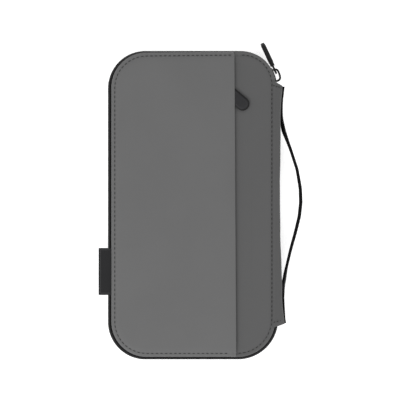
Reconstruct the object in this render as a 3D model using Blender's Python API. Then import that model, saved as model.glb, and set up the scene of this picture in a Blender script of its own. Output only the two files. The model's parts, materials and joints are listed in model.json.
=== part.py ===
"""Zip-around passport wallet, lying on its back cover.

X runs across the wallet to its fabric spine, Y runs up its long side and Z runs up through its thickness.
The origin is on the back cover's outer face, so the whole wallet stands on z = 0.
"""

import math

import bmesh
import bpy
from mathutils import Matrix, Vector

MM = 0.001

# Overall size of the covers, and how far each side lies from the origin.
COVER_LEFT = -62.1 * MM
COVER_RIGHT = 59.2 * MM
COVER_TOP = 113.4 * MM
COVER_BOTTOM = -112.4 * MM
CORNER_TOP_RIGHT = 24.5 * MM
CORNER_BOTTOM_RIGHT = 28.0 * MM
CORNER_LEFT = 26.0 * MM

# Clearances that all pieces share.
GAP = 0.3 * MM
SLIDE_GAP = 0.25 * MM

# Layers, from the back cover up.
COVER_THICK = 1.0 * MM
BOARD_THICK = 1.2 * MM
LINING_THICK = 0.6 * MM
POCKET_THICK = 0.6 * MM
CARD_THICK = 0.4 * MM
BAG_THICK = 0.7 * MM
FLAP_THICK = 0.8 * MM
COMPARTMENT = 6.4 * MM
BOARD_INSET = 2.2 * MM

# Zip band that closes three sides.
BAND_PROUD_LEFT = 1.0 * MM
BAND_PROUD_BOTTOM = 0.5 * MM
BAND_INSET_TOP = 0.8 * MM
BAND_INSET_RIGHT = 1.0 * MM
BAND_PROUD_RIGHT = 0.6 * MM
BAND_START_DEG = -14.0
BAND_RADIUS_TOP_RIGHT = 24.6 * MM
TAPE_THICK = 0.7 * MM
BEAD_THICK = 2.2 * MM
BEAD_WIDTH = 2.0 * MM
BEAD_SPLIT = 1.2 * MM
STOP_LENGTH = 2.0 * MM
FRONT_TEETH_START_DEG = 3.0
TURN_STEPS = 30
CORNER_STEPS = 10
PLATE_STEPS = 12
WIRE_STEPS = 12

# Slider and pull of the main zip.
SLIDER_REST_DEG = 18.0
SLIDER_HALF_DEG = 13.0
SLIDER_WIDTH = 8.4 * MM
PLATE_THICK = 1.0 * MM
POST_THICK = 0.6 * MM
POST_DEG = 6.0
FLANGE_THICK = 0.8 * MM
FLANGE_SET_DEG = 0.5
FLANGE_SET = 0.05 * MM
CROWN_WIRE = 0.75 * MM
CROWN_HEIGHT = 4.3 * MM
CROWN_HALF_DEG = 9.0
CROWN_SHOULDER = 0.6
PULL_LENGTH = 24.6 * MM
PULL_WIDTH = 9.2 * MM
PULL_THICK = 2.8 * MM
PULL_EYE_THICK = 1.2 * MM
PULL_BAR = 1.2 * MM
PULL_WINDOW = 4.5 * MM
PULL_WINDOW_WIDTH = 3.8 * MM
PULL_REST_DEG = 115.2
PULL_PIVOT_DEG = 21.0
PULL_PIVOT_RISE = 1.45 * MM

# Spine and wrist strap.
HINGE_HEIGHT = 4.0 * MM
HINGE_OFFSET = 0.5 * MM
SPINE_HALF_LENGTH = 88.0 * MM
SPINE_LINING_THICK = 0.4 * MM
SPINE_MID_THICK = 0.8 * MM
SPINE_FLARE_TOP = 1.6 * MM
SPINE_FLARE_BOTTOM = 2.2 * MM
SPINE_FLARE_POWER = 2.6
SPINE_STEPS = 24
STRAP_THICK = 1.9 * MM
STRAP_WIDTH = 6.0 * MM
STRAP_BOW = 14.6 * MM
STRAP_BOW_END = 61.0 * MM
STRAP_FREE_END = 49.0 * MM
STRAP_BOW_POWER = 1.6
STRAP_STEPS = 20

# Front pocket: flap, its zip and its pull.
FLAP_EDGE = 29.7 * MM
FLAP_RIM = 2.5 * MM
FOAM_EDGE = 7.0 * MM
POCKET_ZIP_X = 19.8 * MM
POCKET_ZIP_TOP = 96.0 * MM
POCKET_ZIP_BOTTOM = -94.0 * MM
POCKET_SLOT = 12.0 * MM
POCKET_TAPE_THICK = 0.4 * MM
POCKET_BEAD_WIDTH = 1.6 * MM
POCKET_BEAD_THICK = 1.5 * MM
POCKET_SPLIT = 1.0 * MM
POCKET_SLIDER_Y = 87.7 * MM
POCKET_SLIDER_LENGTH = 8.0 * MM
POCKET_PLATE_THICK = 0.5 * MM
POCKET_CROWN_WIRE = 0.4 * MM
POCKET_CROWN_HALF = 2.4 * MM
POCKET_POST_LENGTH = 2.5 * MM
POCKET_POST_SETBACK = 0.5 * MM
POCKET_PULL_LENGTH = 25.0 * MM
POCKET_PULL_WIDTH = 10.2 * MM
POCKET_PULL_THICK = 1.1 * MM
POCKET_PULL_BAR = 0.8 * MM
POCKET_PULL_WINDOW = 4.5 * MM
POCKET_PULL_WINDOW_WIDTH = 6.0 * MM
POCKET_PULL_DEG = -40.0

# Inside pockets.
LINING_INSET = 1.5 * MM
TICKET_TOP = 78.0 * MM
PASSPORT_TOP = 22.0 * MM
NOTE_LEFT = -40.0 * MM
NOTE_DROP = 20.0 * MM
NOTE_RISE = 15.0 * MM
NOTE_CORNER = 3.0 * MM
CARD_STEP = 13.0 * MM
CARD_TOP = 62.0 * MM
CARD_COUNT = 5
CARD_CORNER = 2.0 * MM
SMALL_CORNER_STEPS = 4
CARD_LEFT = -34.0 * MM
CARD_RIGHT = 54.0 * MM
CARD_BOTTOM = -62.0 * MM
PEN_X = 38.0 * MM
PEN_RADIUS = 4.0 * MM
PEN_WALL = 0.5 * MM
PEN_LENGTH = 30.0 * MM
PEN_SEGMENTS = 24

# Woven label.
LABEL_REACH = 9.3 * MM
LABEL_TOP = -31.8 * MM
LABEL_BOTTOM = -66.7 * MM
LABEL_THICK = 0.9 * MM

# Heights worked out from the layers.
BACK_BOARD_Z = COVER_THICK + GAP
BACK_LINING_Z = BACK_BOARD_Z + BOARD_THICK + GAP
TICKET_Z = BACK_LINING_Z + LINING_THICK + GAP
PASSPORT_Z = TICKET_Z + POCKET_THICK + GAP
CARDS_Z = PASSPORT_Z + POCKET_THICK + COMPARTMENT
NOTE_Z = CARDS_Z + CARD_COUNT * (CARD_THICK + GAP)
FRONT_LINING_Z = NOTE_Z + POCKET_THICK + GAP
FRONT_BOARD_Z = FRONT_LINING_Z + LINING_THICK + GAP
BAG_Z = FRONT_BOARD_Z + BOARD_THICK + GAP
FRONT_COVER_Z = BAG_Z + BAG_THICK + GAP
FRONT_FACE_Z = FRONT_COVER_Z + COVER_THICK
POCKET_CHAIN_Z = FRONT_FACE_Z - COVER_THICK / 2
POCKET_BEAD_TOP = POCKET_CHAIN_Z + POCKET_BEAD_THICK / 2
POCKET_PLATE_TOP = POCKET_BEAD_TOP + SLIDE_GAP + POCKET_PLATE_THICK
POCKET_CROWN_RISE = POCKET_PULL_BAR + 2 * SLIDE_GAP + POCKET_CROWN_WIRE
FLAP_Z = POCKET_PLATE_TOP + POCKET_CROWN_RISE + POCKET_CROWN_WIRE + GAP
TOP_Z = FLAP_Z + FLAP_THICK
CHAIN_Z = (BACK_LINING_Z + FRONT_BOARD_Z - GAP) / 2

# Joint axes.
HINGE_X = COVER_RIGHT + HINGE_OFFSET
BACK_HINGE_Z = HINGE_HEIGHT
FRONT_HINGE_Z = TOP_Z - HINGE_HEIGHT
BAND_LEFT = COVER_LEFT - BAND_PROUD_LEFT
BAND_RIGHT = COVER_RIGHT - BAND_INSET_RIGHT
BAND_TOP = COVER_TOP - BAND_INSET_TOP
BAND_BOTTOM = COVER_BOTTOM - BAND_PROUD_BOTTOM
TURN_CENTRE = Vector((BAND_RIGHT - BAND_RADIUS_TOP_RIGHT, BAND_TOP - BAND_RADIUS_TOP_RIGHT, CHAIN_Z))
PLATE_INNER = BEAD_THICK / 2 + SLIDE_GAP
PLATE_OUTER = PLATE_INNER + PLATE_THICK
SPINE_X = HINGE_X + GAP


def clear_scene():
    """Empties the scene, so that the wallet is alone in it."""
    for item in list(bpy.data.objects):
        bpy.data.objects.remove(item, do_unlink=True)


def new_collection(name):
    made = bpy.data.collections.new(name)
    bpy.context.scene.collection.children.link(made)
    return made


def finish(colour, roughness, metallic=0.0):
    """A plain surface, made afresh for each piece."""
    return {"colour": colour, "roughness": roughness, "metallic": metallic}


GREY_FABRIC = finish((0.105, 0.105, 0.107), 0.62)
FLAP_FABRIC = finish((0.125, 0.125, 0.128), 0.62)
BLACK_FABRIC = finish((0.006, 0.006, 0.007), 0.7)
LINING_FABRIC = finish((0.03, 0.031, 0.034), 0.75)
BOARD_STOCK = finish((0.25, 0.22, 0.18), 0.8)
FOAM = finish((0.35, 0.35, 0.35), 0.9)
BLACK_NYLON = finish((0.008, 0.008, 0.009), 0.45)
BLACK_METAL = finish((0.02, 0.02, 0.022), 0.35, 1.0)


def add_material(item, look):
    material = bpy.data.materials.new(item.name)
    material.use_nodes = True
    shader = material.node_tree.nodes["Principled BSDF"]
    shader.inputs["Base Color"].default_value = (*look["colour"], 1.0)
    shader.inputs["Roughness"].default_value = look["roughness"]
    shader.inputs["Metallic"].default_value = look["metallic"]
    item.data.materials.clear()
    item.data.materials.append(material)


def arc(centre, radius, start_deg, end_deg, steps):
    """Points on an arc, both ends included."""
    turns = [math.radians(start_deg + (end_deg - start_deg) * i / steps) for i in range(steps + 1)]
    return [Vector((centre[0] + radius * math.cos(t), centre[1] + radius * math.sin(t))) for t in turns]


def rounded(left, bottom, right, top, radii, steps=CORNER_STEPS):
    """A box outline with its own radius at the bottom right, top right, top left and bottom left corner."""
    low_right, high_right, high_left, low_left = radii
    points = arc((right - low_right, bottom + low_right), low_right, -90, 0, steps)
    points += arc((right - high_right, top - high_right), high_right, 0, 90, steps)
    points += arc((left + high_left, top - high_left), high_left, 90, 180, steps)
    points += arc((left + low_left, bottom + low_left), low_left, 180, 270, steps)
    return points


def cover_outline(inset=0.0):
    """The outline of a cover, drawn in by an inset on all sides."""
    radii = [r - inset for r in (CORNER_BOTTOM_RIGHT, CORNER_TOP_RIGHT, CORNER_LEFT, CORNER_LEFT)]
    return rounded(COVER_LEFT + inset, COVER_BOTTOM + inset, COVER_RIGHT - inset, COVER_TOP - inset, radii)


def band_path():
    """The middle of the zip tape, from the spine's lower end round to its upper end."""
    radius = CORNER_BOTTOM_RIGHT
    lower_right = COVER_RIGHT + BAND_PROUD_RIGHT
    points = arc((lower_right - radius, BAND_BOTTOM + radius), radius, BAND_START_DEG, -90, CORNER_STEPS)
    points += arc((BAND_LEFT + CORNER_LEFT, BAND_BOTTOM + CORNER_LEFT), CORNER_LEFT, 270, 180, CORNER_STEPS)
    points += arc((BAND_LEFT + CORNER_LEFT, BAND_TOP - CORNER_LEFT), CORNER_LEFT, 180, 90, CORNER_STEPS)
    points += arc(TURN_CENTRE, BAND_RADIUS_TOP_RIGHT, 90, 0, TURN_STEPS)
    return points


def offset_path(path, distance):
    """A path moved sideways, outwards from the wallet where distance is positive."""
    moved = []
    for i, point in enumerate(path):
        ahead = path[min(i + 1, len(path) - 1)] - path[max(i - 1, 0)]
        side = Vector((-ahead.y, ahead.x)).normalized()
        moved.append(point + side * distance)
    return moved


def ribbon_outline(path, inner, outer):
    return offset_path(path, outer) + offset_path(path, inner)[::-1]


def flat_curve(name, outline, low, high):
    """A flat outline as a filled 2D curve between two heights."""
    curve = bpy.data.curves.new(name, "CURVE")
    curve.dimensions = "2D"
    curve.fill_mode = "BOTH"
    curve.extrude = (high - low) / 2
    spline = curve.splines.new("POLY")
    spline.points.add(len(outline) - 1)
    for slot, point in zip(spline.points, outline):
        slot.co = (point[0], point[1], 0.0, 1.0)
    spline.use_cyclic_u = True
    item = bpy.data.objects.new(name, curve)
    item.location.z = (low + high) / 2
    return item


def plate(name, outline, low, high, look):
    item = flat_curve(name, outline, low, high)
    parts.objects.link(item)
    add_material(item, look)
    return item


def as_mesh(item):
    """Turns a curve object into a welded mesh object in the same place."""
    cutters.objects.link(item)
    bpy.context.view_layer.update()
    evaluated = item.evaluated_get(bpy.context.evaluated_depsgraph_get())
    mesh = bpy.data.meshes.new_from_object(evaluated)
    shape = bmesh.new()
    shape.from_mesh(mesh)
    bmesh.ops.remove_doubles(shape, verts=shape.verts, dist=0.001 * MM)
    bmesh.ops.recalc_face_normals(shape, faces=shape.faces)
    shape.to_mesh(mesh)
    shape.free()
    made = bpy.data.objects.new(item.name, mesh)
    made.matrix_world = item.matrix_world.copy()
    bpy.data.objects.remove(item, do_unlink=True)
    return made


def solid_plate(name, outline, low, high):
    """The same as a plate, as a mesh that a Boolean can read."""
    return as_mesh(flat_curve(name, outline, low, high))


def solid_box(name, low, high):
    """A box between two corners, as a mesh with its place in it."""
    mesh = bpy.data.meshes.new(name)
    shape = bmesh.new()
    size = Vector(high) - Vector(low)
    middle = (Vector(high) + Vector(low)) / 2
    bmesh.ops.create_cube(shape, size=1.0, matrix=Matrix.Translation(middle) @ Matrix.Diagonal((*size, 1.0)))
    shape.to_mesh(mesh)
    shape.free()
    return bpy.data.objects.new(name, mesh)


def solid_wire(name, points, radius):
    """A round wire through points, as a mesh that a Boolean can read."""
    curve = bpy.data.curves.new(name, "CURVE")
    curve.dimensions = "3D"
    curve.bevel_depth = radius
    curve.bevel_resolution = 2
    curve.use_fill_caps = True
    spline = curve.splines.new("POLY")
    spline.points.add(len(points) - 1)
    for slot, point in zip(spline.points, points):
        slot.co = (*point, 1.0)
    return as_mesh(bpy.data.objects.new(name, curve))


def box(name, low, high, look):
    item = solid_box(name, low, high)
    parts.objects.link(item)
    add_material(item, look)
    return item


def combine(name, first, others, operation, look):
    """One piece made of a first mesh with others joined to it or cut from it."""
    first.name = name
    parts.objects.link(first)
    for i, other in enumerate(others):
        other.name = f"{name}_{operation.lower()}_{i}"
        other.hide_render = True
        other.display_type = "WIRE"
        cutters.objects.link(other)
        change = first.modifiers.new(other.name, "BOOLEAN")
        change.operation = operation
        change.object = other
        change.solver = "EXACT"
    add_material(first, look)
    return first


def polar(radius, degrees, z=0.0):
    """A point about the centre of the top right turn of the zip."""
    turn = math.radians(degrees)
    return Vector((TURN_CENTRE.x + radius * math.cos(turn), TURN_CENTRE.y + radius * math.sin(turn), z))


def pivot_on(item, point):
    """Moves an object's origin to a point without moving its shape."""
    point = Vector(point)
    item.data.transform(Matrix.Translation(-point) @ item.matrix_world)
    item.matrix_world = Matrix.Translation(point)


def build_back():
    """The half that the wallet lies on."""
    inner = cover_outline(LINING_INSET + TAPE_THICK)
    board = cover_outline(BOARD_INSET)
    plate("back_cover", cover_outline(), 0.0, COVER_THICK, GREY_FABRIC)
    plate("back_board", board, BACK_BOARD_Z, BACK_BOARD_Z + BOARD_THICK, BOARD_STOCK)
    plate("back_lining", inner, BACK_LINING_Z, BACK_LINING_Z + LINING_THICK, LINING_FABRIC)
    ticket = clipped(inner, TICKET_TOP)
    plate("ticket_pocket", ticket, TICKET_Z, TICKET_Z + POCKET_THICK, LINING_FABRIC)
    passport = clipped(inner, PASSPORT_TOP)
    plate("passport_pocket", passport, PASSPORT_Z, PASSPORT_Z + POCKET_THICK, LINING_FABRIC)
    build_pen_loop()


def clipped(outline, top):
    """The part of a convex outline that lies below a height in Y."""
    kept = []
    for i, point in enumerate(outline):
        previous = outline[i - 1]
        if (point.y < top) != (previous.y < top):
            share = (top - previous.y) / (point.y - previous.y)
            kept.append(previous.lerp(point, share))
        if point.y < top:
            kept.append(point)
    return kept


def build_pen_loop():
    """An elastic tube that stands on the back lining above the ticket pocket's mouth."""
    low = BACK_LINING_Z + LINING_THICK + GAP
    centre_z = low + PEN_RADIUS + PEN_WALL
    outer = PEN_RADIUS + PEN_WALL
    start = TICKET_TOP + GAP
    ring = turned("pen_loop", outer, PEN_LENGTH)
    hole = turned("pen_hole", PEN_RADIUS, PEN_LENGTH + 2 * GAP)
    for item in (ring, hole):
        across = Matrix.Rotation(math.radians(90), 4, "X")
        item.matrix_world = Matrix.Translation((PEN_X, start + PEN_LENGTH / 2, centre_z)) @ across
    combine("pen_loop", ring, [hole], "DIFFERENCE", BLACK_FABRIC)


def turned(name, radius, length):
    """A cylinder about its own Z."""
    mesh = bpy.data.meshes.new(name)
    shape = bmesh.new()
    bmesh.ops.create_cone(
        shape, cap_ends=True, segments=PEN_SEGMENTS, radius1=radius, radius2=radius, depth=length
    )
    shape.to_mesh(mesh)
    shape.free()
    return bpy.data.objects.new(name, mesh)


def build_band():
    """The zip tapes, their teeth and the stops at both ends."""
    path = band_path()
    half_tape = TAPE_THICK / 2
    half_bead = BEAD_THICK / 2
    clear = math.radians(SLIDER_REST_DEG + SLIDER_HALF_DEG + FRONT_TEETH_START_DEG)
    right = Vector((1, 0))
    last = next(
        i for i in range(len(path) - 1, 0, -1) if (path[i] - TURN_CENTRE.xy).angle_signed(right) > clear
    )
    front_path = path[: last + 1]
    back_bead = CHAIN_Z - BEAD_SPLIT / 2
    front_bead = CHAIN_Z + BEAD_SPLIT / 2
    tape = ribbon_outline(path, -half_tape, half_tape)
    bead = ribbon_outline(path, -half_bead, half_bead)
    front_tape = ribbon_outline(front_path, -half_tape, half_tape)
    front_teeth = ribbon_outline(front_path, -half_bead, half_bead)
    plate("zip_tape_back", tape, BACK_BOARD_Z, back_bead - BEAD_WIDTH - GAP, BLACK_FABRIC)
    plate("zip_teeth_back", bead, back_bead - BEAD_WIDTH, back_bead, BLACK_NYLON)
    plate("zip_tape_front", front_tape, front_bead + BEAD_WIDTH + GAP, FRONT_COVER_Z - GAP, BLACK_FABRIC)
    plate("zip_teeth_front", front_teeth, front_bead, front_bead + BEAD_WIDTH, BLACK_NYLON)


def build_main_slider():
    """The slider follows the turn of the zip, so its plates are bent to the same arc."""
    start = SLIDER_REST_DEG - SLIDER_HALF_DEG
    end = SLIDER_REST_DEG + SLIDER_HALF_DEG
    line = arc(TURN_CENTRE, BAND_RADIUS_TOP_RIGHT, end, start, PLATE_STEPS)
    set_in = FLANGE_SET_DEG
    flange_line = arc(TURN_CENTRE, BAND_RADIUS_TOP_RIGHT, end - set_in, start + set_in, PLATE_STEPS)
    half = SLIDER_WIDTH / 2
    low = CHAIN_Z - half
    high = CHAIN_Z + half
    outer = solid_plate("outer", ribbon_outline(line, PLATE_INNER, PLATE_OUTER), low, high)
    inner = solid_plate("inner", ribbon_outline(line, -PLATE_OUTER, -PLATE_INNER), low, high)
    lip = TAPE_THICK / 2 + GAP
    bite = PLATE_THICK / 2
    joined = [inner]
    for side in (-1, 1):
        rim = half - FLANGE_SET
        edges = sorted((CHAIN_Z + side * rim, CHAIN_Z + side * (half - FLANGE_THICK)))
        for near, far in ((lip, PLATE_INNER + bite), (-PLATE_INNER - bite, -lip)):
            joined.append(solid_plate("flange", ribbon_outline(flange_line, near, far), *edges))
    post_line = arc(TURN_CENTRE, BAND_RADIUS_TOP_RIGHT, end - set_in, end - POST_DEG, SMALL_CORNER_STEPS)
    post = ribbon_outline(post_line, -PLATE_INNER - bite, PLATE_INNER + bite)
    joined.append(solid_plate("post", post, CHAIN_Z - POST_THICK / 2, CHAIN_Z + POST_THICK / 2))
    joined.append(main_crown())
    slider = combine("main_slider", outer, joined, "UNION", BLACK_METAL)
    pivot_on(slider, TURN_CENTRE)


def arch(share):
    """How far along and how high a square-shouldered arch is, from one foot to the other."""
    turn = math.pi * share
    along = math.copysign(abs(math.cos(turn)) ** CROWN_SHOULDER, math.cos(turn))
    return along, max(0.0, math.sin(turn)) ** CROWN_SHOULDER


def main_crown():
    """The arch of wire on the slider's outer plate that holds the pull."""
    foot = BAND_RADIUS_TOP_RIGHT + PLATE_OUTER - PLATE_THICK / 2
    rise = CROWN_HEIGHT + PLATE_THICK / 2 - CROWN_WIRE
    points = []
    for i in range(WIRE_STEPS + 1):
        swing, lift = arch(i / WIRE_STEPS)
        points.append(polar(foot + rise * lift, SLIDER_REST_DEG - CROWN_HALF_DEG * swing, CHAIN_Z))
    return solid_wire("crown", points, CROWN_WIRE)


def pull_mesh(name, length, width, thick, eye_thick, bar, window, window_width):
    """A pull lying along +X in the XY plane about its pivot, with its window cut through."""
    half = width / 2
    eye = window + 2 * bar
    round_end = arc((length - half, 0), half, -90, 90, PLATE_STEPS)
    body = [Vector((eye - bar, -half)), *round_end, Vector((eye - bar, half))]
    head = rounded(-bar / 2, -half, eye, half, (bar / 2,) * 4, SMALL_CORNER_STEPS)
    main = solid_plate(name, body, -thick / 2, thick / 2)
    thin = solid_plate("head", head, -eye_thick / 2, eye_thick / 2)
    cut = solid_box(
        "window", (bar / 2, -window_width / 2, -thick), (bar / 2 + window, window_width / 2, thick)
    )
    return main, thin, cut


def make_pull(name, parts_of_pull, place, look):
    """Joins a pull's plate and eye, cuts the window and puts the pull on its pivot."""
    main, thin, cut = parts_of_pull
    for item in (main, thin, cut):
        item.data.transform(item.matrix_world)
        item.matrix_world = place.copy()
    pull = combine(name, main, [thin], "UNION", look)
    cut.name = f"{name}_window"
    cut.hide_render = True
    cut.display_type = "WIRE"
    cutters.objects.link(cut)
    change = pull.modifiers.new("window", "BOOLEAN")
    change.operation = "DIFFERENCE"
    change.object = cut
    change.solver = "EXACT"
    return pull


def build_main_pull():
    pivot = polar(BAND_RADIUS_TOP_RIGHT + PLATE_OUTER + PULL_PIVOT_RISE, PULL_PIVOT_DEG, CHAIN_Z)
    turn = Matrix.Rotation(math.radians(PULL_REST_DEG), 4, "Z") @ Matrix.Rotation(math.radians(90), 4, "X")
    shapes = pull_mesh(
        "main_pull", PULL_LENGTH, PULL_WIDTH, PULL_THICK, PULL_EYE_THICK, PULL_BAR,
        PULL_WINDOW, PULL_WINDOW_WIDTH,
    )
    make_pull("main_pull", shapes, Matrix.Translation(pivot) @ turn, BLACK_METAL)


def build_stops():
    """Small clamps that end the chain beside the spine."""
    path = band_path()
    half = BEAD_THICK / 2
    for name, first, second in (("zip_stop_bottom", path[0], path[1]), ("zip_stop_top", path[-1], path[-2])):
        along = (first - second).normalized()
        start = first + along * GAP
        line = [start, start + along * STOP_LENGTH]
        low = CHAIN_Z - BEAD_SPLIT / 2 - BEAD_WIDTH
        outline = ribbon_outline(line, -half, half)
        plate(name, outline, low, CHAIN_Z - BEAD_SPLIT / 2, BLACK_METAL)


def spine_edge(y):
    """How far the spine's outer face stands out at a height in Y: flared at both ends."""
    share = y / SPINE_HALF_LENGTH
    flare = SPINE_FLARE_TOP if share > 0 else SPINE_FLARE_BOTTOM
    return flare * abs(share) ** SPINE_FLARE_POWER


def build_spine():
    """Two layers between the two fold lines, the outer one flared at its ends."""
    low = BACK_HINGE_Z + GAP
    high = FRONT_HINGE_Z - GAP
    end = SPINE_HALF_LENGTH
    lining_x = SPINE_X + SPINE_LINING_THICK
    panel_x = lining_x + GAP
    box("spine_lining", (SPINE_X, -end, low), (lining_x, end, high), LINING_FABRIC)
    outline = [Vector((panel_x, end)), Vector((panel_x, -end))]
    for i in range(SPINE_STEPS + 1):
        y = -end + 2 * end * i / SPINE_STEPS
        outline.append(Vector((panel_x + SPINE_MID_THICK + spine_edge(y), y)))
    plate("spine_panel", outline, low, high, GREY_FABRIC)
    return panel_x + SPINE_MID_THICK


def strap_line(start, end, face):
    """The strap's middle between two heights in Y: against the spine at both ends, bowed out between them."""
    points = []
    for i in range(STRAP_STEPS + 1):
        y = start + (end - start) * i / STRAP_STEPS
        share = max(0.0, 1 - abs(y / STRAP_BOW_END) ** STRAP_BOW_POWER)
        flare = spine_edge(y)
        bow = STRAP_BOW * share * share * (3 - 2 * share)
        points.append(Vector((face + flare + GAP + STRAP_THICK / 2 + bow, y)))
    return points


def build_strap(face):
    low = CHAIN_Z - STRAP_WIDTH / 2
    high = CHAIN_Z + STRAP_WIDTH / 2
    half = STRAP_THICK / 2
    stretches = (
        ("strap_end_top", STRAP_FREE_END + GAP, SPINE_HALF_LENGTH),
        ("wrist_strap", -STRAP_FREE_END, STRAP_FREE_END),
        ("strap_end_bottom", -SPINE_HALF_LENGTH, -STRAP_FREE_END - GAP),
    )
    for name, start, end in stretches:
        line = strap_line(start, end, face)
        item = plate(name, square_ended(ribbon_outline(line, -half, half)), low, high, BLACK_FABRIC)
        if name == "wrist_strap":
            place_on_axis(item, ((line[0].x + line[-1].x) / 2, 0.0, CHAIN_Z))


def square_ended(outline):
    """A ribbon that runs up Y with both of its ends cut square to Y."""
    count = len(outline)
    for first in (0, count // 2 - 1):
        pair = (outline[first], outline[count - 1 - first])
        middle = (pair[0] + pair[1]) / 2
        half = (pair[0] - pair[1]).length / 2
        for point in pair:
            point.x = middle.x + math.copysign(half, point.x - middle.x)
            point.y = middle.y
    return outline


def place_on_axis(item, point):
    """Puts an empty on a joint axis and hangs the piece from it."""
    anchor = bpy.data.objects.new(f"{item.name}_axis", None)
    parts.objects.link(anchor)
    anchor.location = point
    bpy.context.view_layer.update()
    item.parent = anchor
    item.matrix_parent_inverse = Matrix.Translation(point).inverted()


def build_front():
    """The upper half: boards, linings, cards, the cover with its zip slot and the flap."""
    inner = cover_outline(LINING_INSET + TAPE_THICK)
    board = cover_outline(BOARD_INSET)
    plate("front_lining", inner, FRONT_LINING_Z, FRONT_LINING_Z + LINING_THICK, LINING_FABRIC)
    plate("front_board", board, FRONT_BOARD_Z, FRONT_BOARD_Z + BOARD_THICK, BOARD_STOCK)
    note_corners = (NOTE_CORNER,) * 4
    note = rounded(
        NOTE_LEFT, CARD_BOTTOM - NOTE_DROP, CARD_RIGHT, CARD_TOP + NOTE_RISE, note_corners, SMALL_CORNER_STEPS
    )
    plate("note_pocket", note, NOTE_Z, NOTE_Z + POCKET_THICK, LINING_FABRIC)
    for i in range(CARD_COUNT):
        z = CARDS_Z + (CARD_COUNT - 1 - i) * (CARD_THICK + GAP)
        top = CARD_TOP - i * CARD_STEP
        corners = (CARD_CORNER,) * 4
        card = rounded(CARD_LEFT, CARD_BOTTOM, CARD_RIGHT, top, corners, SMALL_CORNER_STEPS)
        plate(f"card_slot_{i + 1}", card, z, z + CARD_THICK, LINING_FABRIC)
    slot_low = (POCKET_ZIP_X - POCKET_SLOT / 2, POCKET_ZIP_BOTTOM, 0.0)
    slot_high = (POCKET_ZIP_X + POCKET_SLOT / 2, POCKET_ZIP_TOP, TOP_Z * 2)
    bag = solid_plate("bag", cover_outline(BOARD_INSET), BAG_Z, BAG_Z + BAG_THICK)
    combine("pocket_bag", bag, [solid_box("slot", slot_low, slot_high)], "DIFFERENCE", LINING_FABRIC)
    cover = solid_plate("cover", cover_outline(), FRONT_COVER_Z, FRONT_FACE_Z)
    combine("front_cover", cover, [solid_box("slot", slot_low, slot_high)], "DIFFERENCE", GREY_FABRIC)
    build_flap()


def build_flap():
    """The flap is closed round three sides and open along its right-hand edge, over the pocket zip."""
    foam_outline = left_of(cover_outline(FLAP_RIM + GAP), FOAM_EDGE)
    plate("flap_foam", foam_outline, FRONT_FACE_Z + GAP, FLAP_Z - GAP, FOAM)
    shell = solid_plate("flap", left_of(cover_outline(), FLAP_EDGE), FRONT_FACE_Z + GAP, TOP_Z)
    room = solid_plate("room", cover_outline(FLAP_RIM), FRONT_COVER_Z, FLAP_Z)
    combine("front_pocket_flap", shell, [room], "DIFFERENCE", FLAP_FABRIC)


def left_of(outline, edge):
    """The part of a convex outline that lies left of a line in X."""
    turned_round = [Vector((p.y, p.x)) for p in outline]
    return [Vector((p.y, p.x)) for p in clipped(turned_round, edge)]


def build_pocket_zip():
    """A straight zip in the front cover's slot, with its tapes, teeth, stops, slider and pull."""
    half_split = POCKET_SPLIT / 2
    bead_out = half_split + POCKET_BEAD_WIDTH
    tape_low = POCKET_CHAIN_Z - POCKET_TAPE_THICK / 2
    tape_high = POCKET_CHAIN_Z + POCKET_TAPE_THICK / 2
    bead_low = POCKET_CHAIN_Z - POCKET_BEAD_THICK / 2
    bead_high = POCKET_BEAD_TOP
    bottom = POCKET_ZIP_BOTTOM + GAP
    top = POCKET_ZIP_TOP - GAP
    for name, side in (("left", -1), ("right", 1)):
        tape = sorted((POCKET_ZIP_X + side * (bead_out + GAP), POCKET_ZIP_X + side * (POCKET_SLOT / 2 - GAP)))
        bead = sorted((POCKET_ZIP_X + side * half_split, POCKET_ZIP_X + side * bead_out))
        box(f"pocket_tape_{name}", (tape[0], bottom, tape_low), (tape[1], top, tape_high), BLACK_FABRIC)
        teeth_low = (bead[0], bottom + STOP_LENGTH + GAP, bead_low)
        teeth_high = (bead[1], top - STOP_LENGTH - GAP, bead_high)
        box(f"pocket_teeth_{name}", teeth_low, teeth_high, BLACK_NYLON)
    for name, low in (("bottom", bottom), ("top", top - STOP_LENGTH)):
        corner = (POCKET_ZIP_X - bead_out, low, bead_low)
        far = (POCKET_ZIP_X + bead_out, low + STOP_LENGTH, bead_high)
        box(f"pocket_stop_{name}", corner, far, BLACK_METAL)
    build_pocket_slider(bead_low, bead_high, bead_out)


def build_pocket_slider(bead_low, bead_high, bead_out):
    half = POCKET_SLIDER_LENGTH / 2
    wide = bead_out + GAP + POCKET_PLATE_THICK
    y = POCKET_SLIDER_Y
    x = POCKET_ZIP_X
    under = bead_low - SLIDE_GAP
    over = bead_high + SLIDE_GAP
    plate_top = POCKET_PLATE_TOP
    top_plate = solid_box("top", (x - wide, y - half, over), (x + wide, y + half, plate_top))
    lowest = under - POCKET_PLATE_THICK
    joined = [solid_box("under", (x - wide, y - half, lowest), (x + wide, y + half, under))]
    post_half = POCKET_SPLIT / 2 - SLIDE_GAP
    bite = POCKET_PLATE_THICK / 2
    post_end = y + half - POCKET_POST_SETBACK
    post_low = (x - post_half, post_end - POCKET_POST_LENGTH, under - bite)
    joined.append(solid_box("post", post_low, (x + post_half, post_end, over + bite)))
    rise = POCKET_CROWN_RISE
    crown = []
    for i in range(WIRE_STEPS + 1):
        swing, lift = arch(i / WIRE_STEPS)
        crown.append(Vector((x, y + POCKET_CROWN_HALF * swing, plate_top - bite + (rise + bite) * lift)))
    joined.append(solid_wire("crown", crown, POCKET_CROWN_WIRE))
    combine("pocket_slider", top_plate, joined, "UNION", BLACK_METAL)
    build_pocket_pull(plate_top)


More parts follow.
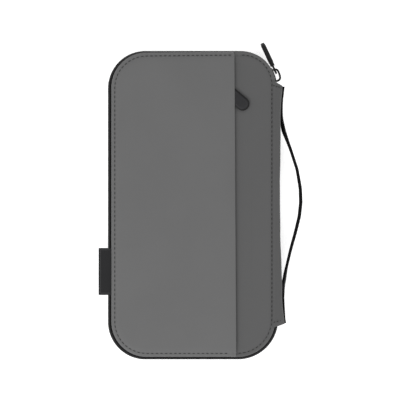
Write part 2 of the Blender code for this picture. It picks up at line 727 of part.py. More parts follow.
def build_pocket_pull(plate_top):
    """The pull lies flat and swings about the upright line through the crown's lower leg."""
    eye = POCKET_PULL_BAR
    z = plate_top + SLIDE_GAP + POCKET_PULL_THICK / 2
    shapes = pull_mesh(
        "pocket_pull", POCKET_PULL_LENGTH, POCKET_PULL_WIDTH, POCKET_PULL_THICK, eye, eye,
        POCKET_PULL_WINDOW, POCKET_PULL_WINDOW_WIDTH,
    )
    pivot = Vector((POCKET_ZIP_X, POCKET_SLIDER_Y, z))
    turn = Matrix.Rotation(math.radians(POCKET_PULL_DEG), 4, "Z")
    make_pull("pocket_pull", shapes, Matrix.Translation(pivot) @ turn, BLACK_METAL)


def build_label():
    """A folded woven tab held in the left-hand seam, below the front cover."""
    low = FRONT_COVER_Z
    box(
        "side_label",
        (COVER_LEFT - GAP - LABEL_REACH, LABEL_BOTTOM, low),
        (COVER_LEFT - GAP, LABEL_TOP, low + LABEL_THICK),
        BLACK_FABRIC,
    )


clear_scene()
parts = new_collection("passport_wallet")
cutters = new_collection("cutters")
build_back()
build_band()
build_stops()
build_main_slider()
build_main_pull()
build_strap(build_spine())
build_front()
build_pocket_zip()
build_label()
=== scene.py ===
"""Grey zip-around passport wallet: coated fabric covers, woven zip, coil teeth, stitching and strap."""

import json

import bpy
import numpy as np
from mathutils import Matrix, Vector


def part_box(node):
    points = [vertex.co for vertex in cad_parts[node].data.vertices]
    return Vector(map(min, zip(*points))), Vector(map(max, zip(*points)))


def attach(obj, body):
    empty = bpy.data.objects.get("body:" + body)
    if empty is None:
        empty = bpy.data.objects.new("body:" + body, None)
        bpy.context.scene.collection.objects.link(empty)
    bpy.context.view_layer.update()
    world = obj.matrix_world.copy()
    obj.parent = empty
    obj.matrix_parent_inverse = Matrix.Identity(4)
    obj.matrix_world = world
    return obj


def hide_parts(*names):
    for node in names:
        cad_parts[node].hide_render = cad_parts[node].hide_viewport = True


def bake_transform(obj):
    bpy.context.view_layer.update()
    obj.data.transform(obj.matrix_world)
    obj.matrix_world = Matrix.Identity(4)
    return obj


bl_info = {
    "name": "Passport wallet",
    "version": (1, 0, 0),
    "blender": (4, 5, 0),
    "location": "View3D > Sidebar > Wallet",
    "description": "Builds the fabric, zips, stitching and studio of a zip-around passport wallet",
    "category": "Object",
}

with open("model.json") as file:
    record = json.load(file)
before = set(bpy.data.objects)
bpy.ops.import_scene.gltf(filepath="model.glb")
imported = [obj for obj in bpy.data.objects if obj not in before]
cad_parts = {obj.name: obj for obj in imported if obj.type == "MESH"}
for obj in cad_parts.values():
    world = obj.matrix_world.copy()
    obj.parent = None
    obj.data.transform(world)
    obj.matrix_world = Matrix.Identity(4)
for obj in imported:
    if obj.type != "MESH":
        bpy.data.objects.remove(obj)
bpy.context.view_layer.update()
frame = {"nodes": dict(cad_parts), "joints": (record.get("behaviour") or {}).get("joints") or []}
MM = 0.001
TAU = 2 * np.pi
WHITE = (1.0, 1.0, 1.0, 1.0)


def box_of(node):
    """The low and high corners of a packed node."""
    return tuple(np.array(corner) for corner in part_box(node))


# Places read from the packed model.
COVER_LOW, COVER_HIGH = box_of("front_cover")
BACK_LOW, BACK_HIGH = box_of("back_cover")
FLAP_LOW, FLAP_HIGH = box_of("front_pocket_flap")
TAPE_BACK_LOW, _ = box_of("zip_tape_back")
_, TAPE_FRONT_HIGH = box_of("zip_tape_front")
TEETH_BACK_LOW, TEETH_BACK_HIGH = box_of("zip_teeth_back")
TEETH_FRONT_LOW, TEETH_FRONT_HIGH = box_of("zip_teeth_front")
SPINE_LOW, SPINE_HIGH = box_of("spine_panel")
STRAP_LOW, STRAP_HIGH = box_of("wrist_strap")
LABEL_LOW, LABEL_HIGH = box_of("side_label")
JOINTS = {j["name"]: j for j in frame["joints"]}
CHAIN_Z = (TEETH_BACK_HIGH[2] + TEETH_FRONT_LOW[2]) / 2
TURN = np.array(JOINTS["main_slider_run"]["pos_m"][:2])
FOLD_X = JOINTS["spine_fold"]["pos_m"][0]
CHAIN_MID = (SPINE_LOW[2] + SPINE_HIGH[2]) / 2

# Corner radii of the covers and the zip, in the order bottom right, top right, top left, bottom left.
COVER_RADII = np.array([28.0, 24.5, 26.0, 26.0]) * MM
FLAP_RADII = np.array([2.0, 2.0, 26.0, 26.0]) * MM
BAND_RADII = np.array([28.0, 24.6, 26.0]) * MM
# Where the chain and the tapes start, in degrees of the bottom right turn.
BAND_START, TAPE_START = -14.0, -6.0
TOP_SLOPE, FLAP_LEAN = 0.7 * MM, 0.00625
# Degrees of the top right turn that the slider takes up, and half of what the closed chain loses there.
SLIDER_DEG, CHAIN_HALF_DEG = 18.0, 16.0


def length(name, text, value):
    """A length that the panel shows."""
    return bpy.props.FloatProperty(name=name, description=text, default=value, unit="LENGTH", precision=5)


def paint(name, text, value):
    """A colour that the panel shows."""
    return bpy.props.FloatVectorProperty(
        name=name, description=text, default=value, subtype="COLOR", size=3, min=0, max=1,
    )


class WalletSizes(bpy.types.PropertyGroup):
    """Sizes of the sewn details."""

    stitch_pitch: length("Stitch pitch", "Distance from one stitch to the next", 3.4 * MM)
    stitch_inset: length("Stitch inset", "Distance of the seam from the cover's edge", 2.5 * MM)
    stitch_length: length("Stitch length", "Length of thread that shows in each stitch", 2.1 * MM)
    thread: length("Thread", "Diameter of the sewing thread", 0.6 * MM)
    tooth_pitch: length("Tooth pitch", "Distance between coil teeth on one side of the main zip", 1.7 * MM)
    fabric_rise: length("Fabric rise", "How far the front strip's fabric stands over its plate", 0.75 * MM)


class WalletColours(bpy.types.PropertyGroup):
    """Colours of the fabrics and fittings."""

    cover: paint("Cover", "Coated fabric of the covers and spine", (0.067, 0.067, 0.0675))
    flap: paint("Flap", "Coated fabric of the front flap", (0.094, 0.094, 0.0945))
    black: paint("Black", "Zip tape, strap and label", (0.0025, 0.0025, 0.0028))
    lining: paint("Lining", "Woven lining inside", (0.034, 0.035, 0.038))
    metal: paint("Metal", "Coated sliders, stops and pulls", (0.005, 0.005, 0.0055))


# -------- shader maths


class Wire:
    """A socket that adds Math nodes when it is used in an expression."""

    def __init__(self, tree, socket):
        self.tree = tree
        self.socket = socket

    def node(self, kind, settings=None, **sockets):
        """Adds a node: its settings first, then the values or links of its sockets."""
        made = self.tree.nodes.new(kind)
        for key, value in (settings or {}).items():
            setattr(made, key, value)
        for key, value in sockets.items():
            target = made.inputs[int(key[1:])] if key[0] == "i" and key[1:].isdigit() else made.inputs[key]
            if isinstance(value, Wire):
                self.tree.links.new(value.socket, target)
            else:
                target.default_value = value
        return made

    def math(self, operation, first, second=0.0):
        made = self.node("ShaderNodeMath", {"operation": operation}, i0=first, i1=second)
        return Wire(self.tree, made.outputs[0])

    def __add__(self, other):
        return self.math("ADD", self, other)

    __radd__ = __add__

    def __mul__(self, other):
        return self.math("MULTIPLY", self, other)

    __rmul__ = __mul__

    def sine(self):
        return self.math("SINE", self)

    def clamp(self, low=0.0, high=1.0):
        return self.math("MAXIMUM", self.math("MINIMUM", self, high), low)

    def smooth(self, low, high):
        made = self.node("ShaderNodeMapRange", {"interpolation_type": "SMOOTHSTEP"}, i0=self, i1=low, i2=high)
        return Wire(self.tree, made.outputs[0])


class Finish:
    """One material with its coordinates, textures and the sockets that may vary."""

    def __init__(self, name, **fixed):
        self.material = bpy.data.materials.new(name)
        self.material.use_nodes = True
        self.tree = self.material.node_tree
        self.shader = self.tree.nodes["Principled BSDF"]
        for key, value in fixed.items():
            self.shader.inputs[key.replace("_", " ")].default_value = value
        root = Wire(self.tree, None)
        self.new = root.node
        self.place = Wire(self.tree, self.new("ShaderNodeTexCoord").outputs["Object"])
        self.map = Wire(self.tree, self.new("ShaderNodeTexCoord").outputs["UV"])

    def split(self, vector):
        made = self.new("ShaderNodeSeparateXYZ", None, i0=vector)
        return [Wire(self.tree, made.outputs[i]) for i in range(3)]

    def noise(self, scale, detail=3.0):
        made = self.new("ShaderNodeTexNoise", None, Vector=self.place, Scale=scale, Detail=detail)
        return Wire(self.tree, made.outputs[0])

    def cells(self, scale):
        made = self.new("ShaderNodeTexVoronoi", {"feature": "F1"}, Vector=self.place, Scale=scale)
        return Wire(self.tree, made.outputs["Distance"])

    def tint(self, factor, dark, light):
        """A colour between two others."""
        made = self.new("ShaderNodeMix", {"data_type": "RGBA"}, i0=factor, i6=(*dark, 1), i7=(*light, 1))
        return Wire(self.tree, made.outputs[2])

    def colour(self, socket):
        self.tree.links.new(socket.socket, self.shader.inputs["Base Color"])

    def rough(self, socket):
        self.tree.links.new(socket.socket, self.shader.inputs["Roughness"])

    def bump(self, height, strength, depth):
        made = self.new("ShaderNodeBump", None, Strength=strength, Distance=depth, Height=height)
        self.tree.links.new(made.outputs[0], self.shader.inputs["Normal"])


def times(factor, colour):
    """A colour made darker or lighter."""
    return tuple(factor * k for k in colour)


def shades(colour, spread):
    """A darker and a lighter version of a colour."""
    base = np.array(colour[:3])
    return tuple(base * (1 - spread)), tuple(base * (1 + spread))


def coated(name, colour):
    """Matt coated fabric: fine pebbled grain, faint cloudy tone and slightly uneven sheen."""
    made = Finish(name, Specular_IOR_Level=0.36, Sheen_Weight=0.08, Sheen_Roughness=0.5)
    cloud = made.noise(28.0, 3.0)
    fleck = made.noise(1500.0, 2.0)
    grain = made.cells(2100.0)
    fine = made.noise(3800.0, 2.0)
    made.colour(made.tint((cloud * 0.7 + fleck * 0.3).smooth(0.25, 0.75), *shades(colour, 0.045)))
    made.rough((0.56 + 0.14 * cloud + 0.05 * fine).clamp())
    made.bump(grain * 0.6 + fine * 0.4, 0.22, 0.06 * MM)
    return made.material


def woven(name, colour, pitch, sheen=0.1, spread=0.25, depth=0.09, object_space=True, specular=0.28):
    """Plain weave: two sets of rounded threads, one over the other in turn."""
    made = Finish(name, Specular_IOR_Level=specular, Sheen_Weight=sheen, Sheen_Roughness=0.45)
    x, y, z = made.split(made.place if object_space else made.map)
    u = (x + z) * (TAU / pitch)
    v = y * (TAU / pitch)
    weave = (u.sine() * v.sine()) * 0.5 + 0.5
    cloud = made.noise(60.0, 2.0)
    fuzz = made.noise(2600.0, 2.0)
    made.colour(made.tint((weave * 0.6 + fuzz * 0.25 + cloud * 0.15).clamp(), *shades(colour, spread)))
    made.rough((0.62 + 0.18 * weave + 0.08 * cloud).clamp())
    made.bump(weave * 0.8 + fuzz * 0.2, 0.5, depth * MM)
    return made.material


def herringbone(name, colour):
    """Zip tape: slanting ribs that change direction across its width, from the piece's own map."""
    made = Finish(name, Specular_IOR_Level=0.12, Sheen_Weight=0.02, Sheen_Roughness=0.5)
    u, v, _ = made.split(made.map)
    rib = ((u + v.math("PINGPONG", v, 1.6 * MM)) * (TAU / (0.55 * MM))).sine() * 0.5 + 0.5
    fuzz = made.noise(2400.0, 2.0)
    made.colour(made.tint((rib * 0.7 + fuzz * 0.3).clamp(), *shades(colour, 0.35)))
    made.rough((0.6 + 0.2 * fuzz).clamp())
    made.bump(rib * 0.8 + fuzz * 0.2, 0.5, 0.1 * MM)
    return made.material


def lacquer(name, colour, rough=0.34):
    """Black coated metal: orange-peel skin, with faint rubbed patches."""
    made = Finish(name, Specular_IOR_Level=0.2, Coat_Roughness=0.3, Coat_Weight=0.0)
    peel = made.noise(900.0, 2.0)
    rub = made.noise(160.0, 4.0)
    made.colour(made.tint(rub.smooth(0.35, 0.8), *shades(colour, 0.18)))
    made.rough((rough + 0.16 * rub + 0.04 * peel).clamp())
    made.bump(peel, 0.12, 0.05 * MM)
    return made.material


def nylon(name, colour):
    """Moulded coil teeth: satin with fine draw marks."""
    made = Finish(name, Specular_IOR_Level=0.3)
    marks = made.noise(1300.0, 2.0)
    made.colour(made.tint(marks, *shades(colour, 0.25)))
    made.rough((0.32 + 0.16 * marks).clamp())
    made.bump(marks, 0.15, 0.03 * MM)
    return made.material


def thread(name, colour):
    """Twisted sewing thread, with its plies from a slanting ripple."""
    made = Finish(name, Specular_IOR_Level=0.3, Sheen_Weight=0.2)
    x, y, z = made.split(made.place)
    ply = ((x + y + z) * (TAU / (0.35 * MM))).sine() * 0.5 + 0.5
    made.colour(made.tint(ply, *shades(colour, 0.3)))
    made.rough((0.6 + 0.15 * ply).clamp())
    made.bump(ply, 0.4, 0.05 * MM)
    return made.material


def sheet_stock(name, colour, scale):
    """Stiffener board: a mottled, slightly pitted surface."""
    made = Finish(name, Specular_IOR_Level=0.2)
    pits = made.noise(scale, 4.0)
    made.colour(made.tint(pits, *shades(colour, 0.15)))
    made.rough((0.75 + 0.15 * pits).clamp())
    made.bump(pits, 0.3, 0.1 * MM)
    return made.material


# Every finish by its short name, filled by make_looks.
LOOKS = {}


def make_looks():
    """All finishes, once."""
    c = bpy.context.scene.wallet_colours
    LOOKS["cover"] = coated("cover_coated_fabric", c.cover)
    LOOKS["flap"] = coated("flap_coated_fabric", c.flap)
    LOOKS["lining"] = woven("lining_weave", c.lining, 0.55 * MM, spread=0.22, depth=0.07)
    LOOKS["tape"] = herringbone("zip_tape_weave", c.black)
    LOOKS["tape_plain"] = woven("binding_weave", times(2.6, c.black), 0.45 * MM, spread=0.3, depth=0.05)
    LOOKS["elastic"] = woven("elastic_weave", times(2.2, c.black), 0.8 * MM, spread=0.3)
    LOOKS["strap"] = woven(
        "strap_weave", c.black, 0.42 * MM, sheen=0.0, spread=0.3, depth=0.05,
        object_space=False, specular=0.1,
    )
    LOOKS["label"] = woven("label_weave", times(3.0, c.black), 0.34 * MM, spread=0.3, depth=0.05)
    LOOKS["label_line"] = thread("label_border_thread", (0.035, 0.035, 0.037))
    LOOKS["metal"] = lacquer("black_lacquer", c.metal)
    # A lighter copy of the black lacquer for the pulls' raised islands: a painted highlight of their lit
    # faces.
    LOOKS["pad"] = lacquer("black_lacquer_painted_highlight", times(3.4, c.metal), 0.24)
    # The spine takes a darker copy of the cover fabric: painted shade on its bent, side-facing skin.
    LOOKS["spine"] = coated("spine_coated_fabric_painted_shade", times(0.88, c.cover))
    LOOKS["nylon"] = nylon("coil_nylon", times(1.4, c.black))
    LOOKS["stitch"] = thread("seam_thread", times(0.16, c.cover))
    LOOKS["stitch_in"] = thread("lining_thread", times(1.8, c.lining))
    LOOKS["board"] = sheet_stock("stiffener_board", (0.03, 0.03, 0.031), 300.0)


# -------- surfaces


def place_object(name, data):
    """A new object for a mesh, a lamp or a camera, in the scene."""
    made = bpy.data.objects.new(name, data)
    bpy.context.scene.collection.objects.link(made)
    return made


def put_mesh(name, verts, faces, look, body, uvs=None):
    """A mesh object from arrays: vertices, faces and a map value for each vertex."""
    mesh = bpy.data.meshes.new(name)
    mesh.from_pydata(np.asarray(verts, float).reshape(-1, 3).tolist(), [], [list(f) for f in faces])
    mesh.validate()
    if uvs is not None:
        layer = mesh.uv_layers.new(name="UVMap")
        corner = np.zeros(len(mesh.loops), np.int32)
        mesh.loops.foreach_get("vertex_index", corner)
        layer.data.foreach_set("uv", np.asarray(uvs, np.float32)[corner].ravel())
    mesh.update()
    mesh.shade_smooth()
    mesh.materials.append(LOOKS[look])
    made = place_object(name, mesh)
    if body:
        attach(made, body)
    return made


def grid_faces(rows, cols):
    """Quads between neighbours of a rows by cols grid, closed round its columns."""
    r, c = np.meshgrid(np.arange(rows - 1), np.arange(cols), indexing="ij")
    n = (c + 1) % cols
    quads = np.stack([r * cols + c, r * cols + n, (r + 1) * cols + n, (r + 1) * cols + c], axis=-1)
    return quads.reshape(-1, 4).tolist()


def tube_faces(rows, cols, turned=False):
    """Quads round a tube of rows rings and a face over each end, turned inside out where asked."""
    faces = grid_faces(rows, cols)
    faces += [list(range(cols - 1, -1, -1)), [(rows - 1) * cols + i for i in range(cols)]]
    return [f[::-1] for f in faces] if turned else faces


def own_map(along, section):
    """A map in metres: distance along a path by distance round its section."""
    round_it = np.concatenate([[0], np.cumsum(np.linalg.norm(np.diff(section, axis=0), axis=1))])
    return np.stack(np.broadcast_arrays(along[:, None], round_it[None, :]), axis=-1).reshape(-1, 2)


def arc_points(centre, radius, start, end, count):
    """count points on an arc between two angles in degrees, the last one left out."""
    t = np.radians(np.linspace(start, end, count, endpoint=False))
    return np.stack([centre[0] + radius * np.cos(t), centre[1] + radius * np.sin(t)], axis=-1)


def outline(low, high, radii, inset, corner=64, side_x=70, side_y=150):
    """A rounded box drawn in by inset: four quarter arcs joined by straight runs, counter-clockwise."""
    r = np.maximum(radii - inset, 0.02 * MM)
    x0, y0 = low[0] + inset, low[1] + inset
    x1, y1 = high[0] - inset, high[1] - inset
    r = np.minimum(r, np.abs(x1 - x0 - r[[3, 2, 1, 0]]))
    spots = [(x1 - r[0], y0 + r[0], -90), (x1 - r[1], y1 - r[1], 0)]
    spots += [(x0 + r[2], y1 - r[2], 90), (x0 + r[3], y0 + r[3], 180)]
    runs = [side_y, side_x, side_y, side_x]
    arcs = [arc_points((x, y), r[i], a, a + 90, corner) for i, (x, y, a) in enumerate(spots)]
    ends = [np.array([x, y]) + r[i] * np.array([np.cos(np.radians(a + 90)), np.sin(np.radians(a + 90))])
            for i, (x, y, a) in enumerate(spots)]
    rows = []
    for i in range(4):
        rows += [arcs[i], np.linspace(ends[i], arcs[(i + 1) % 4][0], runs[i], endpoint=False)]
    return np.concatenate(rows)


def slope_top(points):
    """Raises the top edge a little towards the spine, as the sewn cover does."""
    x, y = points[..., 0], points[..., 1]
    high = np.clip(y / COVER_HIGH[1], 0, 1) ** 3
    moved = points.copy()
    moved[..., 1] = y + TOP_SLOPE * (x / 0.06 - 0.35) * high
    return moved


def depth_in(x, y):
    """How far inside the cover's rounded outline a point lies."""
    middle = (COVER_LOW[:2] + COVER_HIGH[:2]) / 2
    half = (COVER_HIGH[:2] - COVER_LOW[:2]) / 2
    px, py = x - middle[0], y - middle[1]
    radius = np.where(px < 0, COVER_RADII[2], np.where(py < 0, COVER_RADII[0], COVER_RADII[1]))
    qx, qy = np.abs(px) - half[0] + radius, np.abs(py) - half[1] + radius
    return -(np.minimum(np.maximum(qx, qy), 0) + np.hypot(np.maximum(qx, 0), np.maximum(qy, 0)) - radius)


def smooth(value, low, high):
    """0 below low, 1 above high and an S curve between them."""
    t = np.clip((value - low) / (high - low), 0, 1)
    return t * t * (3 - 2 * t)


def bell(value, centre, width):
    """1 at the centre, falling away on both sides as a bell curve."""
    return np.exp(-((value - centre) / width) ** 2)


def squared(wave, power):
    """A cosine or sine drawn towards a square wave."""
    return np.sign(wave) * np.abs(wave) ** power


# Where the rings of a sheet lie, closest together at its seam.
RING_INSETS = np.array(
    [0.9, 1.3, 1.7, 2.0, 2.3, 2.6, 2.9, 3.3, 3.8, 4.5, 5.5, 7, 9, 12, 16, 21, 27, 34, 42]
) * MM


def pillow(low, high, radii, top, bottom, reach, fold=0.5 * MM, counts=(72, 90, 240)):
    """A closed sheet: rings of the outline, from the middle of its underside round a fold to its top.

    top and bottom give the two heights at (x, y, distance inside the piece's own edge).
    """
    inner = np.append(RING_INSETS[RING_INSETS < reach - 0.5 * MM], reach)
    turns = np.linspace(-np.pi / 2, np.pi / 2, 9)
    insets = np.concatenate([inner[::-1], fold * (1 - np.cos(turns)), inner])
    share = np.concatenate([-np.ones(len(inner)), np.sin(turns), np.ones(len(inner))])
    rings = []
    for inset, level in zip(insets, share):
        flat = outline(low, high, radii, inset, *counts)
        x, y = flat[:, 0], flat[:, 1]
        above, below = top(x, y, inset), bottom(x, y, inset)
        z = (above + below) / 2 + (above - below) / 2 * level
        rings.append(np.column_stack([slope_top(flat), z]))
    return np.concatenate(rings), tube_faces(len(rings), len(rings[0]))


def at_height(flat, z):
    """Flat points, all raised to one height."""
    return np.column_stack([flat, np.full(len(flat), z)])


def path_of(points):
    """Unit tangents, outward sides and arc lengths of an open path."""
    ahead = np.gradient(points, axis=0)
    tangent = ahead / np.linalg.norm(ahead, axis=1, keepdims=True)
    side = np.column_stack([-tangent[:, 1], tangent[:, 0]])
    along = np.concatenate([[0], np.cumsum(np.linalg.norm(np.diff(points, axis=0), axis=1))])
    return tangent, side, along


def even(points, step):
    """Points an even step apart along a path."""
    _, _, along = path_of(points)
    at = np.linspace(0, along[-1], max(2, int(round(along[-1] / step)) + 1))
    return np.column_stack([np.interp(at, along, points[:, k]) for k in range(points.shape[1])])


def band_path(end_deg=0.0, start_deg=BAND_START):
    """The middle of the zip, clockwise from the spine's lower end to an angle of the top right turn."""
    low, high = TEETH_BACK_LOW, TEETH_BACK_HIGH
    half = 1.1 * MM
    left, bottom, top = low[0] + half, low[1] + half, high[1] - half
    radius = BAND_RADII[0]
    right = high[0] - half + radius * (1 - np.cos(np.radians(BAND_START)))
    rows = [
        arc_points((right - radius, bottom + radius), radius, start_deg, -90, 40),
        arc_points((left + BAND_RADII[2], bottom + BAND_RADII[2]), BAND_RADII[2], 270, 180, 40),
        arc_points((left + BAND_RADII[2], top - BAND_RADII[2]), BAND_RADII[2], 180, 90, 40),
        arc_points(TURN, BAND_RADII[1], 90, end_deg, 60),
        [TURN + BAND_RADII[1] * np.array([np.cos(np.radians(end_deg)), np.sin(np.radians(end_deg))])],
    ]
    return even(np.concatenate(rows), 0.8 * MM)


def sweep(path, section):
    """A closed section of (outward, height) points carried along a path, with end caps and its own map."""
    _, side, along = path_of(path[:, :2])
    rows, cols = len(path), len(section)
    flat = path[:, None, :2] + side[:, None, :] * section[None, :, :1]
    height = np.broadcast_to(section[None, :, 1:], (rows, cols, 1))
    verts = np.concatenate([flat, height], axis=2).reshape(-1, 3)
    return verts, tube_faces(rows, cols), own_map(along, section)


def capsules(centres, tangents, ups, length, width, height, around=8, rows=6):
    """One capped dash at each centre: a superellipsoid turned to its tangent and its up direction."""
    a = np.linspace(-np.pi / 2, np.pi / 2, rows)
    b = np.linspace(0, TAU, around, endpoint=False)
    swell = np.cos(a) ** 0.6
    body = np.stack(np.broadcast_arrays(
        (np.sin(a) * length / 2)[:, None], swell[:, None] * np.cos(b) * width / 2,
        swell[:, None] * np.sin(b) * height / 2), axis=-1)[1:-1].reshape(-1, 3)
    tips = np.array([[-length / 2, 0, 0], [length / 2, 0, 0]])
    shape = np.concatenate([body, tips])
    sides = np.cross(ups, tangents)
    basis = np.stack([tangents, sides, ups], axis=1)
    verts = centres[:, None, :] + np.einsum("pk,nkj->npj", shape, basis)
    inner = rows - 2
    quads = grid_faces(inner, around)
    first, last = inner * around, inner * around + 1
    turn = [(i, (i + 1) % around) for i in range(around)]
    one = [[f[0], f[3], f[2], f[1]] for f in quads]
    one += [[first, i, j] for i, j in turn]
    base = (inner - 1) * around
    one += [[last, base + j, base + i] for i, j in turn]
    size = len(shape)
    faces = [[v + k * size for v in f] for k in range(len(centres)) for f in one]
    return verts.reshape(-1, 3), faces


# -------- covers


def seam_points(sizes):
    """Where the needle went through: even steps round the cover, just inside its edge."""
    loop = outline(COVER_LOW, COVER_HIGH, COVER_RADII, sizes.stitch_inset, 72, 90, 240)
    return even(np.concatenate([loop, loop[:1]]), sizes.stitch_pitch)[:-1]


def near(x, y, spots, width):
    """A bump of 1 at each spot that fades over a width."""
    gap = np.full(len(x), 1.0)
    for part in np.array_split(np.arange(len(x)), max(1, len(x) // 4000)):
        away = np.hypot(x[part, None] - spots[None, :, 0], y[part, None] - spots[None, :, 1])
        gap[part] = away.min(axis=1)
    return np.exp(-(gap / width) ** 2)


def seam_shape(x, y, sizes, holes):
    """Groove along the seam, deeper at the needle holes, with a soft roll on both sides of it."""
    depth = depth_in(x, y)
    groove = bell(depth, sizes.stitch_inset, 0.8 * MM)
    pull = near(x, y, holes, 1.1 * MM)
    roll = bell(depth, 5.2 * MM, 2.2 * MM)
    edge = bell(depth, 0.9 * MM, 0.9 * MM)
    puff = roll * (1 - 0.5 * near(x, y, holes, 3.2 * MM))
    return MM * (-0.22 * groove - 0.34 * pull * groove + 0.16 * puff - 0.1 * edge)


def waves(x, y, size=0.1 * MM):
    """Slow, shallow unevenness of a sewn sheet."""
    long = np.sin(x * 61 + y * 23) + np.sin(y * 37 - x * 19 + 1.3)
    return size * (long + 0.6 * np.sin(y * 83 + x * 47)) / 2.6


def strip_top(x, y, sizes, holes):
    """Height of the front fabric to the right of the flap."""
    level = COVER_HIGH[2] + sizes.fabric_rise
    return level + seam_shape(x, y, sizes, holes) + waves(x, y) * smooth(depth_in(x, y), 0, 8 * MM)


def flap_top(x, y, sizes, holes):
    """Height of the flap: low round its sewn edge, level over the pocket, drooping at its free edge."""
    depth = depth_in(x, y)
    level = FLAP_HIGH[2] - 0.2 * MM
    low = FLAP_LOW[2] + 1.25 * MM
    rise = 1 - np.exp(-np.maximum(depth, 0) / (3.6 * MM))
    droop = 0.72 * MM * np.exp(-np.maximum(flap_edge(y) - x, 0) / (3.2 * MM)) * rise
    return low + (level - low) * rise - droop + seam_shape(x, y, sizes, holes) + waves(x, y, 0.07 * MM) * rise


def flap_edge(y):
    """X of the flap's free edge, which leans a little from top to bottom."""
    return FLAP_HIGH[0] - FLAP_LEAN * y


def flap_bottom(x, y, sizes, holes):
    """Underside of the flap: down to the cover round the sewn sides, clear of the pocket zip inside."""
    inside = smooth(depth_in(x, y), 1.0 * MM, 5.0 * MM)
    under = flap_top(x, y, sizes, holes) - 0.62 * MM
    return FLAP_LOW[2] * (1 - inside) + under * inside - 0.1 * MM * (1 - inside)


def make_front(sizes):
    """Fabric over the front cover beside the pocket zip, wrapped round the cover's edge."""
    holes = seam_points(sizes)
    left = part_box("pocket_tape_right")[1].x + 0.5 * MM
    low, high = np.array([left, COVER_LOW[1]]), COVER_HIGH[:2]
    radii = np.array([COVER_RADII[0], COVER_RADII[1], 0.8 * MM, 0.8 * MM])
    over = 0.15 * MM

    def upper(x, y, d=0):
        return strip_top(x, y, sizes, holes)

    def lower(x, y, d):
        rise = COVER_HIGH[2] - COVER_LOW[2] + 1.3 * over
        return COVER_LOW[2] - over + rise * smooth(d + 0 * x, 0.8 * MM, 1.6 * MM)

    verts, faces = pillow(
        low - [0, over], high + over, radii + [over, over, 0, 0], upper, lower, 15.5 * MM, 0.7 * MM
    )
    put_mesh("front_strip_fabric", verts, faces, "cover", "front")
    right = holes[holes[:, 0] > left + 5 * MM]
    seam_run("front_strip_stitches", right, sizes, upper, "front")


def seam_run(name, holes, sizes, height, body, up=1.0, proud=0.12 * MM):
    """The thread between each pair of neighbouring needle holes, lying in the seam."""
    away = np.linalg.norm(np.roll(holes, -1, axis=0) - holes, axis=1)
    keep = away < 1.5 * sizes.stitch_pitch
    start, end = holes[keep], np.roll(holes, -1, axis=0)[keep]
    middle = (start + end) / 2
    tangent = (end - start) / np.linalg.norm(end - start, axis=1, keepdims=True)
    tangent = np.column_stack([tangent, np.zeros(len(tangent))])
    z = height(middle[:, 0], middle[:, 1]) + up * proud
    ups = np.broadcast_to(np.array([0, 0, up]), tangent.shape)
    centres = np.column_stack([slope_top(middle), z])
    verts, faces = capsules(centres, tangent, ups, sizes.stitch_length, sizes.thread, sizes.thread * 0.8)
    return put_mesh(name, verts, faces, "stitch", body)


def make_flap(sizes):
    """The padded flap over the front pocket, with its seam."""
    holes = seam_points(sizes)
    low, high = COVER_LOW[:2].copy(), np.array([FLAP_HIGH[0], COVER_HIGH[1]])

    def upper(x, y, d=0):
        return flap_top(x, y, sizes, holes)

    def lower(x, y, d):
        return flap_bottom(x, y, sizes, holes)

    verts, faces = pillow(low, high, FLAP_RADII, upper, lower, 44 * MM, 0.35 * MM)
    lean = smooth(verts[:, 0], -20 * MM, FLAP_HIGH[0])
    verts[:, 0] += lean * (flap_edge(verts[:, 1]) - FLAP_HIGH[0])
    flap = put_mesh("front_flap_fabric", verts, faces, "flap", "front")
    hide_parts("front_pocket_flap", "flap_foam")
    left = holes[holes[:, 0] < FLAP_HIGH[0] - 2.5 * MM]
    start = np.argmax(np.linalg.norm(np.roll(left, -1, axis=0) - left, axis=1)) + 1
    left = np.roll(left, -start, axis=0)
    seam_run("front_flap_stitches", left, sizes, upper, "front")


def make_back(sizes):
    """Fabric of the back cover, flat underneath, with its seam."""
    holes = seam_points(sizes)

    def upper(x, y, d):
        return BACK_HIGH[2] + 0 * x

    def lower(x, y, d=0):
        return BACK_LOW[2] - np.minimum(seam_shape(x, y, sizes, holes), 0) * 0.8

    verts, faces = pillow(BACK_LOW[:2], BACK_HIGH[:2], COVER_RADII, upper, lower, 56 * MM, 0.5 * MM)
    back = put_mesh("back_cover_fabric", verts, faces, "cover", "back")
    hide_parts("back_cover")
    seam_run("back_cover_stitches", holes, sizes, lower, "back", -1.0, 0.14 * MM)


# -------- zips


TAPE_THICK, TAPE_SWELL, TAPE_HEM = 0.7 * MM, 1.4 * MM, 3.9 * MM
CHAIN_WIDTH = 2.1 * MM
TOOTH_SHARE = 0.42


def tape_section(low, high, sewn):
    """A tape's section: an upright strip that bellies outwards, with a thin hem turned in at its seam."""
    t = np.linspace(-1, 1, 15)
    z = (low + high) / 2 + t * (high - low) / 2
    belly = TAPE_SWELL * (1 - t * t)
    rim, half = 0.13 * MM, TAPE_THICK / 2
    round_off = np.where(np.abs(t) > 0.99, 0.6, 1.0)
    outer = np.column_stack([belly + half * round_off, z])
    inner = np.column_stack([belly - half * round_off, z])[::-1]
    tongue = np.array([[-TAPE_HEM, sewn + rim], [-TAPE_HEM, sewn - rim]])
    if sewn - rim < (low + high) / 2:
        root = np.array([[-half, sewn + rim], [half * 0.5, sewn - rim]])
        return np.concatenate([outer, inner[:-1], root[:1], tongue, root[1:]])[::-1]
    root = np.array([[-half, sewn - rim], [half * 0.5, sewn + rim]])
    return np.concatenate([outer[::-1], inner[::-1][:-1], root[:1], tongue[::-1], root[1:]])


